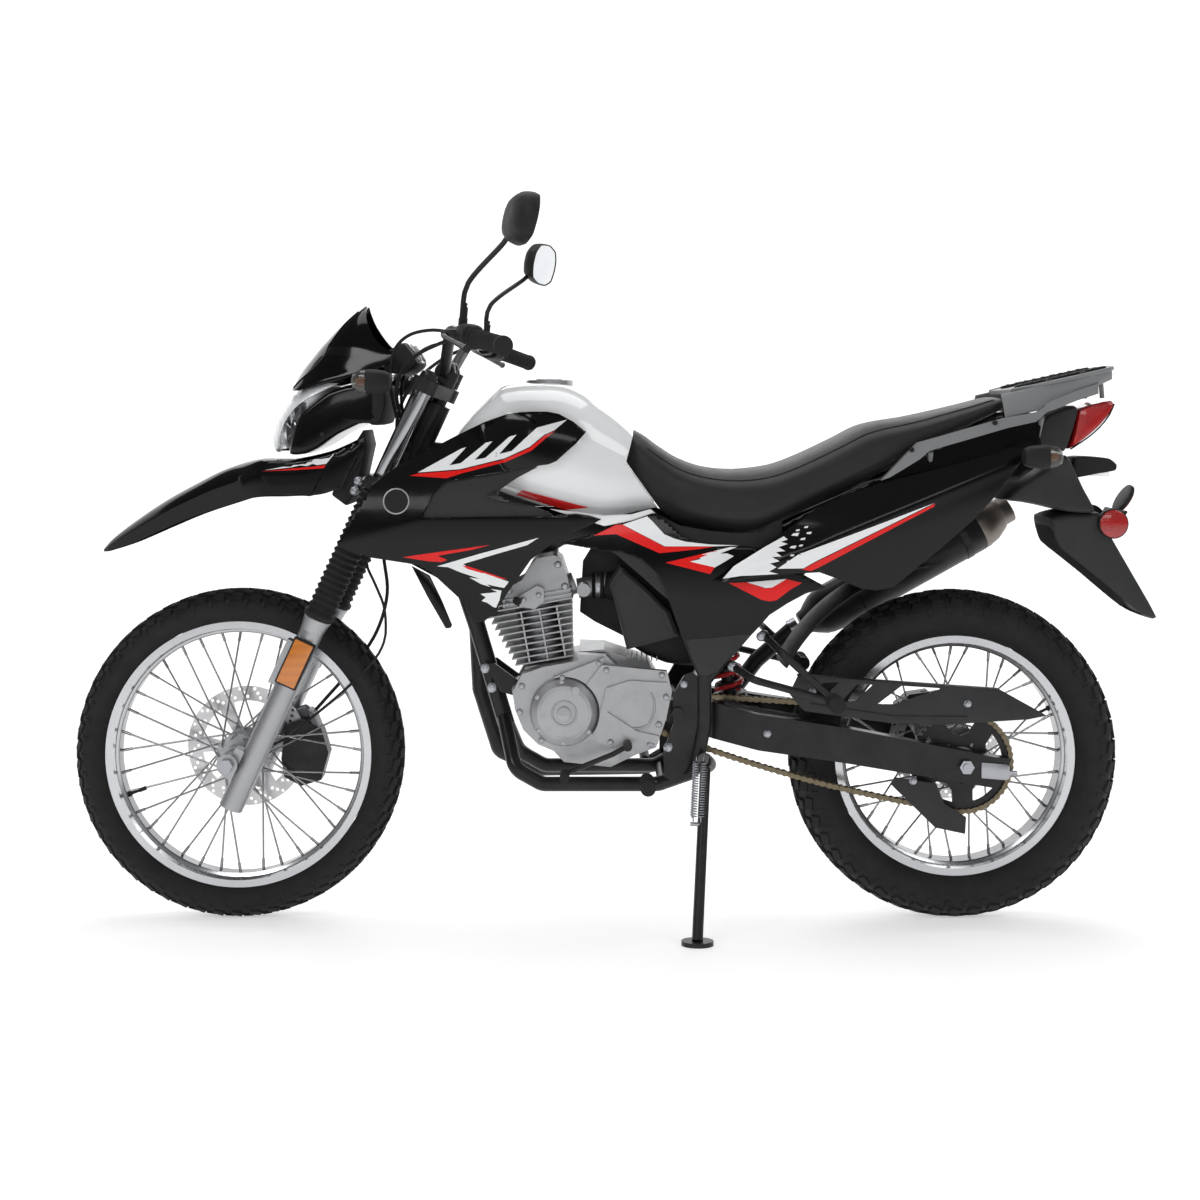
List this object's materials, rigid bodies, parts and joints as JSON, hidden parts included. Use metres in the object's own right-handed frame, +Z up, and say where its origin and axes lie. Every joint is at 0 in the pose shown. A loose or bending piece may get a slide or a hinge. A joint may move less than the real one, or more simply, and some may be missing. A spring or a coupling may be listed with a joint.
{
  "type": "dual-sport motorcycle",
  "caption": "Light dual-sport motorcycle with wire wheels, high front fender, rear rack and side stand; its wheels turn, its fork steers and its stand folds.",
  "frame": {"origin": "middle of the footprint box, on the ground the machine stands on", "axes": "-X forwards, +X rearwards, -Y to the left side where the stand is and to which the machine leans, +Z up"},
  "size_m": [2.118, 0.9385, 1.4174],
  "materials": {
    "frame_paint": "semi-gloss black",
    "steel": "zinc plated",
    "dark_steel": "satin black",
    "chain_steel": "oiled",
    "alloy": "satin",
    "cast_alloy": "fine cast",
    "rim_alloy": "bright anodised",
    "white_paint": "gloss white",
    "black_gloss": "gloss black with red and white stripes",
    "black_plastic": "grained",
    "grey_plastic": "grained dark grey",
    "rack_grey": "satin silver grey",
    "tyre": "rubber",
    "rubber": "matt",
    "seat_vinyl": "grained vinyl",
    "exhaust_black": "heat-proof black",
    "lamp_glass": "clear",
    "red_lens": "red lens"
  },
  "bodies": {
    "chassis": {"frame": "frame_paint", "swingarm": "frame_paint", "rear_axle": "steel", "fuel_tank": "white_paint", "fuel_cap": "alloy", "seat": "seat_vinyl", "tank_shrouds": "black_gloss", "side_covers": "black_gloss", "tail_covers": "black_gloss", "airbox": "grey_plastic", "crankcase": "cast_alloy", "engine_covers": "cast_alloy", "cylinder_barrel": "cast_alloy", "cylinder_head": "cast_alloy", "throttle_body": "cast_alloy", "exhaust_pipe": "exhaust_black", "muffler": "exhaust_black", "rear_shock": "dark_steel", "chain_guard": "black_plastic", "drive_chain": "chain_steel", "rear_fender": "black_plastic", "tail_light": "red_lens", "rear_signals": "black_plastic", "luggage_rack": "rack_grey", "foot_pegs": "dark_steel", "foot_controls": "dark_steel", "rear_brake": "dark_steel"},
    "steering": {"fork": "dark_steel", "fork_boots": "rubber", "fork_sliders": "alloy", "front_axle": "steel", "handlebar": "dark_steel", "hand_controls": "rubber", "mirrors": "black_plastic", "instrument_cluster": "black_plastic", "headlight": "black_gloss", "headlight_lens": "lamp_glass", "cowl": "black_gloss", "front_fender": "black_gloss", "front_signals": "black_plastic", "front_brake": "dark_steel"},
    "front_wheel": {"front_tyre": "tyre", "front_rim": "rim_alloy", "front_hub": "cast_alloy", "front_disc": "steel"},
    "rear_wheel": {"rear_tyre": "tyre", "rear_rim": "rim_alloy", "rear_hub": "cast_alloy", "rear_sprocket": "dark_steel", "rear_disc": "steel"},
    "side_stand": {"side_stand": "dark_steel"}
  },
  "joints": [
    {"name": "steering", "type": "hinge", "parent": "chassis", "child": "steering", "pos_m": [-0.34842, 0.03924, 1.00928], "axis": [0.4179, -0.1264, 0.8997], "range_deg": [-40, 40]},
    {"name": "front_wheel_spin", "type": "hinge", "parent": "steering", "child": "front_wheel", "pos_m": [-0.741, 0.13605, 0.32046], "axis": [0, 0.9903, 0.1392], "continuous": true},
    {"name": "rear_wheel_spin", "type": "hinge", "parent": "chassis", "child": "rear_wheel", "pos_m": [0.664, 0.13619, 0.31947], "axis": [0, 0.9903, 0.1392], "continuous": true},
    {"name": "side_stand_fold", "type": "hinge", "parent": "chassis", "child": "side_stand", "pos_m": [0.171, 0.00818, 0.31057], "axis": [-0.2918, -0.9078, 0.3012], "range_deg": [0, 85]}
  ]
}
